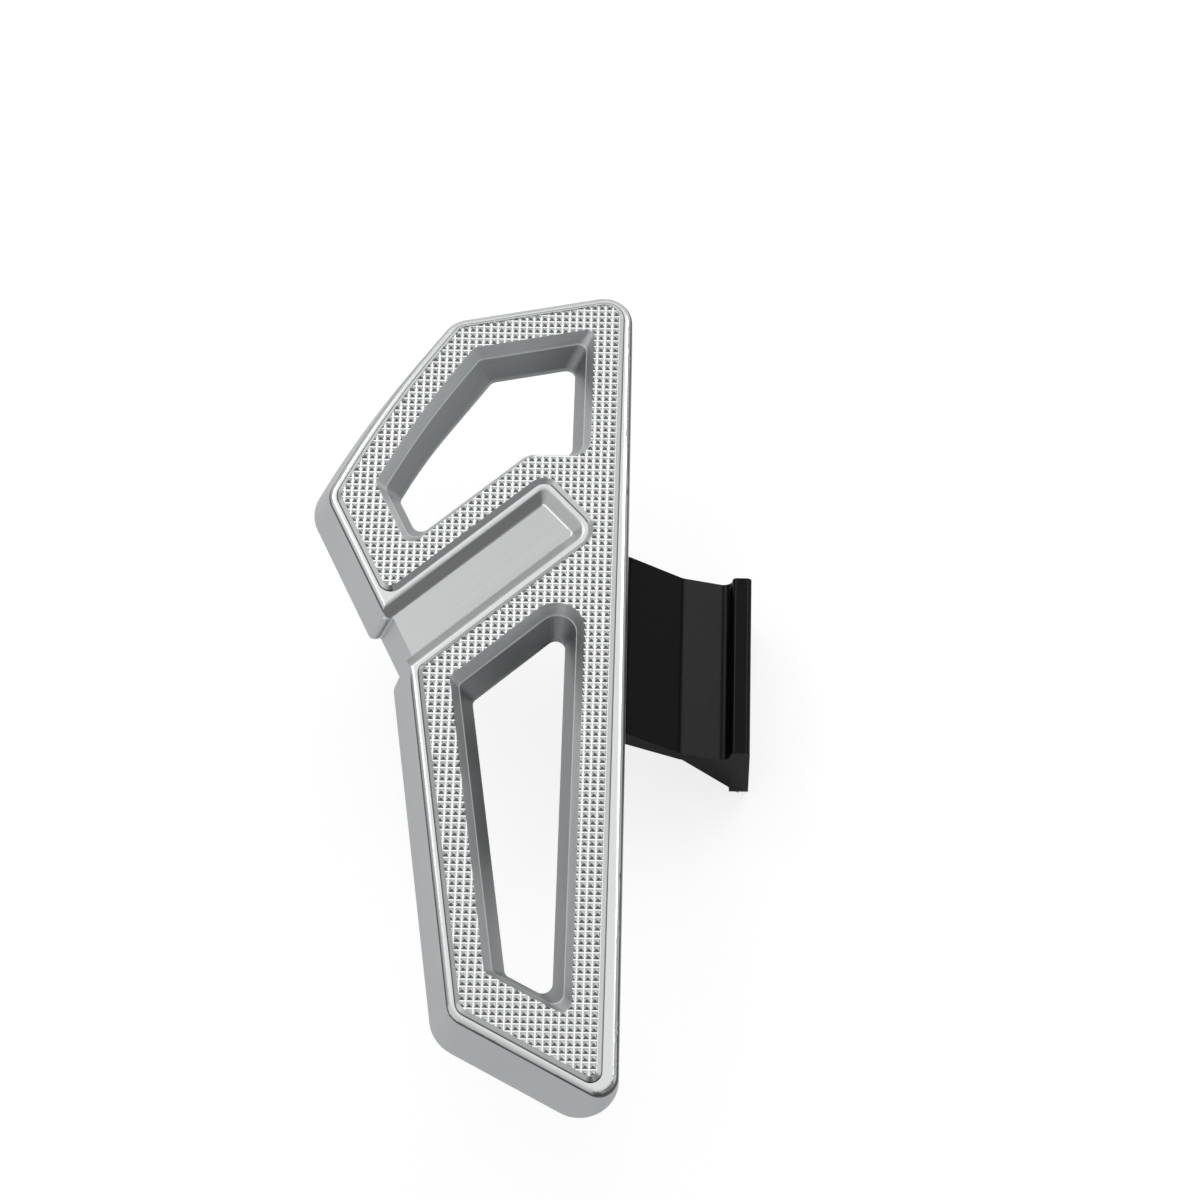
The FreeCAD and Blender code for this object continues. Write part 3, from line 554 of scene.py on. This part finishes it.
class FLOORBOARD_OT_knurl(bpy.types.Operator):
    """Covers the tread with small pyramids, trimmed at its border and at the windows"""
    bl_idname = "floorboard.knurl"
    bl_label = "Cut Knurl"

    def execute(self, context):
        settings = context.scene.floorboard_knurl
        floor_z = board_high.z - settings.depth
        sink = settings.depth / 4        # how deep the pyramids stand in the groove floors
        pad = self.trimming_pad(settings, floor_z, 2 * sink)
        knurl = self.pyramids(settings, floor_z, sink)
        self.drop_far_ones(knurl, pad, settings)
        slab = field_slab(settings)
        slab.data.transform(Matrix.Translation((0, 0, -2 * sink)))
        for space in (pad, slab):
            apply_modifier(knurl, "BOOLEAN", operation="INTERSECT", solver="MANIFOLD", object=space)
            bpy.data.objects.remove(space)
        if not knurl.data.polygons:
            raise RuntimeError("no pyramid is left on the tread")
        dress(knurl, knurl_aluminium(context.scene.floorboard_board.knurl))
        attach(knurl, "footboard")
        return {"FINISHED"}

    def trimming_pad(self, settings, floor_z, depth):
        """The space over the groove floor in which pyramids stay, with sloping sides."""
        pad = node_copy("board", "tread_pad")
        plane_off(pad, floor_z)
        delete_faces(pad, lambda face: face.normal.z < LEVEL or face.center.z < floor_z - TINY)
        rise = settings.depth * 1.2      # a little over the pyramids' tops
        make_active(pad)
        bpy.ops.object.mode_set(mode="EDIT")
        bpy.ops.mesh.select_all(action="SELECT")
        bpy.ops.transform.translate(value=(0, 0, -depth))
        bpy.ops.mesh.extrude_region_move(TRANSFORM_OT_translate={"value": (0, 0, depth)})
        bpy.ops.mesh.inset(thickness=settings.window_slope * rise, depth=rise)
        bpy.ops.mesh.select_all(action="SELECT")
        bpy.ops.mesh.normals_make_consistent(inside=False)
        bpy.ops.object.mode_set(mode="OBJECT")
        return pad

    def pyramids(self, settings, floor_z, sink):
        """One pyramid at the grid's low corner, repeated both ways over the board's box."""
        pitch = settings.pitch
        first = [start - pitch * math.ceil((start - low) / pitch)
                 for start, low in zip(settings.start, board_low)]
        counts = [math.ceil((high - start) / pitch) for start, high in zip(first, board_high)]
        slope = (settings.base - settings.top) / settings.depth
        height = settings.depth + sink
        corner = math.sqrt(2) / 2
        deselect_all()
        bpy.ops.mesh.primitive_cone_add(vertices=4, radius1=corner * (settings.base + slope * sink),
                                        radius2=corner * settings.top, depth=height,
                                        location=(*first, floor_z - sink + height / 2),
                                        rotation=(0, 0, math.pi / 4))
        knurl = bpy.context.object
        knurl.name = "tread_knurl"
        bpy.ops.object.transform_apply(location=True, rotation=True, scale=True)
        for axis, count in enumerate(counts):
            step = [0, 0, 0]
            step[axis] = pitch
            apply_modifier(knurl, "ARRAY", count=count, use_relative_offset=False,
                           use_constant_offset=True, constant_offset_displace=step)
        return knurl

    def drop_far_ones(self, knurl, pad, settings):
        """Deletes the pyramids that don't reach the tread."""
        start = Vector(settings.start)
        kept = {}

        def outside(face):
            cell = tuple(round((c - s) / settings.pitch) for c, s in zip(face.center.xy, start))
            if cell not in kept:
                middle = Vector((*(start + Vector(cell) * settings.pitch), board_high.z))
                found, near, _, _ = pad.closest_point_on_mesh(middle)
                kept[cell] = found and (near - middle).xy.length < settings.base
            return not kept[cell]

        delete_faces(knurl, outside)


class FLOORBOARD_OT_hinge(bpy.types.Operator):
    """Finishes the hinge lugs, screws, washers, bushes, pin and clip"""
    bl_idname = "floorboard.hinge"
    bl_label = "Finish Hinge"

    def execute(self, context):
        settings = context.scene.floorboard_hinge
        lug = machined_metal("milled_lug_aluminium", settings.lug, 0.36, 1.5 * MM)
        steel = machined_metal("zinc_plated_steel", settings.steel, 0.3, 4 * MM)
        screw = machined_metal("black_oxide_steel", settings.screw, 0.4, 2 * MM)
        bronze = machined_metal("sintered_bronze", settings.bronze, 0.42, 1 * MM)
        finishes = {
            lug: ["front_hinge_lug", "rear_hinge_lug"],
            steel: ["pivot_pin", "pin_washer", "pin_clip", "front_lock_washers",
                    "rear_lock_washers"],
            screw: ["front_lug_screws", "rear_lug_screws"],
            bronze: ["front_pivot_bush", "rear_pivot_bush"],
        }
        for material, nodes in finishes.items():
            for node in nodes:
                dress(frame["nodes"][node], material)
        return {"FINISHED"}


class FLOORBOARD_OT_bracket(bpy.types.Operator):
    """Finishes the painted bracket and its rubber bumpers"""
    bl_idname = "floorboard.bracket"
    bl_label = "Finish Bracket"

    def execute(self, context):
        settings = context.scene.floorboard_hinge
        dress(frame["nodes"]["support_bracket"], bracket_paint(settings.paint))
        dress(frame["nodes"]["stop_bumpers"], bumper_rubber(settings.rubber))
        return {"FINISHED"}


class FLOORBOARD_OT_stage(bpy.types.Operator):
    """Sets up the pale floor, soft studio lamps, surroundings and camera"""
    bl_idname = "floorboard.stage"
    bl_label = "Set Stage"

    # Parts of the room: direction, brightness, and half angles where it is full and where it ends
    patches = [
        ((0, 0.48, 0.87), 1.0, 15, 32),          # over the far end, seen in level faces
        ((0, 1, 0.05), 0.7, 10, 34),             # far end
        ((0, -1, 0.2), 0.45, 25, 70),            # near end, behind the camera
        ((-0.43, -0.9, 0.05), 1.8, 4, 10),       # lamp low at the near end
        ((0, -0.83, 0.55), 0.12, 10, 26),        # dark, seen in the pyramids' near flanks
        ((0.69, -0.27, 0.66), 0.2, 14, 36),      # dark, seen in the channel's front wall
        ((0.86, 0.48, 0.1), 0.9, 12, 34),        # right side, seen in the pyramids' right flanks
        ((-0.86, 0.48, 0.1), 0.45, 12, 30),      # left side, seen in their left flanks
        ((-0.77, 0.48, 0.41), 0.45, 8, 16),      # high on the left
        ((0.77, 0.48, 0.41), 0.35, 8, 16),       # high on the right
    ]
    # Soft boxes: name, place, side and power, and the point that they face
    boxes = [
        ("left_box", (-0.84, 0.75, 1.1), 0.6, 3),
        ("right_box", (0.66, 0.75, 1.1), 0.6, 2.6),
    ]
    aim = (-0.09, 0, 0.06)

    def execute(self, context):
        settings = context.scene.floorboard_stage
        self.floor(settings)
        self.surroundings(context, settings)
        self.lamps()
        deselect_all()
        bpy.ops.object.camera_add(location=settings.camera_place, rotation=settings.camera_turn)
        camera = bpy.context.object
        camera.data.lens = settings.focal
        camera.data.clip_start = 0.01
        camera.data.clip_end = 100
        context.scene.camera = camera
        context.scene.view_settings.view_transform = "Standard"
        return {"FINISHED"}

    def floor(self, settings):
        """A pale floor under the part, with a faint shadow."""
        deselect_all()
        bpy.ops.mesh.primitive_plane_add(size=settings.floor_width, location=(0, 0, cad_box[0][2]))
        floor = bpy.context.object
        floor.name = "floor"
        material, tree, shader = new_material("matt_floor_paint", settings.floor, 0, 0.9)
        # White to the camera, though part of it still takes the shadow
        path = add_node(tree, "ShaderNodeLightPath")
        share = add_node(tree, "ShaderNodeMath", {1: settings.floor_glow},
                         {0: path.outputs["Is Camera Ray"]}, operation="MULTIPLY")
        glow = add_node(tree, "ShaderNodeEmission", {"Strength": settings.floor_light})
        mix = add_node(tree, "ShaderNodeMixShader", links={0: share.outputs["Value"],
                                                           1: shader.outputs["BSDF"],
                                                           2: glow.outputs["Emission"]})
        tree.links.new(mix.outputs["Shader"], tree.nodes["Material Output"].inputs["Surface"])
        dress(floor, material)

    def surroundings(self, context, settings):
        """A pale room whose bright and dark parts each show in one kind of face."""
        world = bpy.data.worlds.new("studio")
        world.use_nodes = True
        context.scene.world = world
        tree = world.node_tree
        back = tree.nodes["Background"]
        place = add_node(tree, "ShaderNodeTexCoord")
        shade = add_node(tree, "ShaderNodeRGB")
        shade.outputs["Color"].default_value = (*[settings.sky] * 3, 1)
        colour = shade.outputs["Color"]
        for direction, level, inner, outer in self.patches:
            facing = add_node(tree, "ShaderNodeVectorMath", {1: Vector(direction).normalized()},
                              {0: place.outputs["Generated"]}, operation="DOT_PRODUCT")
            ends = [math.cos(math.radians(angle)) for angle in (outer, inner)]
            share = add_node(tree, "ShaderNodeMapRange", {"From Min": ends[0], "From Max": ends[1]},
                             {"Value": facing.outputs["Value"]}, interpolation_type="SMOOTHSTEP")
            mix = add_node(tree, "ShaderNodeMixRGB", {"Color2": (*[level] * 3, 1)},
                           {"Fac": share.outputs["Result"], "Color1": colour})
            colour = mix.outputs["Color"]
        tree.links.new(colour, back.inputs["Color"])

    def lamps(self):
        """Two large soft boxes ahead of the board."""
        for name, place, size, power in self.boxes:
            bpy.ops.object.light_add(type="AREA", location=place)
            lamp = bpy.context.object
            lamp.name = name
            facing = Vector(self.aim) - Vector(place)
            lamp.rotation_euler = facing.to_track_quat("-Z", "Y").to_euler()
            lamp.data.size = size
            lamp.data.energy = power


class FLOORBOARD_PT_panel(bpy.types.Panel):
    """Lists the steps and their settings"""
    bl_idname = "FLOORBOARD_PT_panel"
    bl_label = "Floorboard"
    bl_space_type = "VIEW_3D"
    bl_region_type = "UI"
    bl_category = "Floorboard"

    def draw(self, context):
        for step in steps:
            self.layout.operator(step.bl_idname)
        for name, group in groups.items():
            column = self.layout.column(heading=group.__name__)
            for key in group.__annotations__:
                column.prop(getattr(context.scene, name), key)


groups = {
    "floorboard_knurl": KnurlSettings,
    "floorboard_board": BoardSettings,
    "floorboard_hinge": HingeSettings,
    "floorboard_stage": StageSettings,
}
steps = [FLOORBOARD_OT_board, FLOORBOARD_OT_knurl, FLOORBOARD_OT_hinge, FLOORBOARD_OT_bracket,
         FLOORBOARD_OT_stage]


def register():
    for cls in [*groups.values(), *steps, FLOORBOARD_PT_panel]:
        bpy.utils.register_class(cls)
    for name, group in groups.items():
        setattr(bpy.types.Scene, name, PointerProperty(type=group))


def unregister():
    for name in groups:
        delattr(bpy.types.Scene, name)
    for cls in [FLOORBOARD_PT_panel, *reversed(steps), *reversed(groups.values())]:
        bpy.utils.unregister_class(cls)


def main():
    """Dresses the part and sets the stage."""
    register()
    bpy.ops.floorboard.board()
    bpy.ops.floorboard.knurl()
    bpy.ops.floorboard.hinge()
    bpy.ops.floorboard.bracket()
    bpy.ops.floorboard.stage()


if __name__ == "__main__":
    main()
